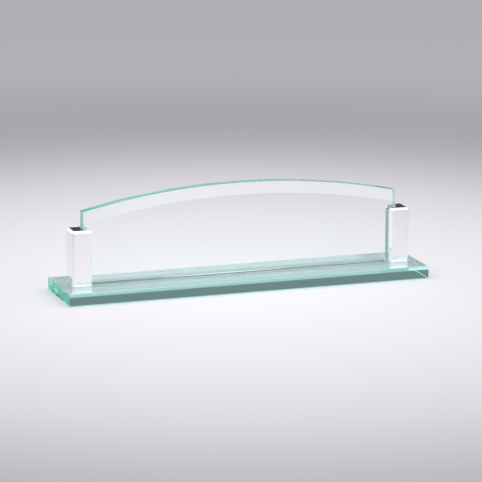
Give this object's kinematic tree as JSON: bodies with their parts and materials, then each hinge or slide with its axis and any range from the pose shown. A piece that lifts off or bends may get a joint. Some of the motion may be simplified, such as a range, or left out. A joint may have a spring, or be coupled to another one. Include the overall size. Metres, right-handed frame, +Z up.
{
  "type": "arched glass award",
  "caption": "Low, wide award: an arched, bevelled sheet of jade glass held on edge between two mirror-polished square posts on a bevelled glass base plate.",
  "frame": {"origin": "centre of the base plate's underside", "axes": "+Z up, +X along the length of the award, -Y towards the bevelled front of the panel"},
  "size_m": [0.305, 0.062, 0.0846],
  "materials": {
    "jade_glass": "polished",
    "polished_metal": "mirror polished",
    "clear_adhesive": "clear"
  },
  "bodies": {
    "root": {"base_plate": "jade_glass", "arch_panel": "jade_glass", "left_post": "polished_metal", "right_post": "polished_metal", "left_post_adhesive": "clear_adhesive", "right_post_adhesive": "clear_adhesive", "left_slot_adhesive": "clear_adhesive", "right_slot_adhesive": "clear_adhesive", "panel_foot_adhesive": "clear_adhesive"}
  },
  "joints": []
}
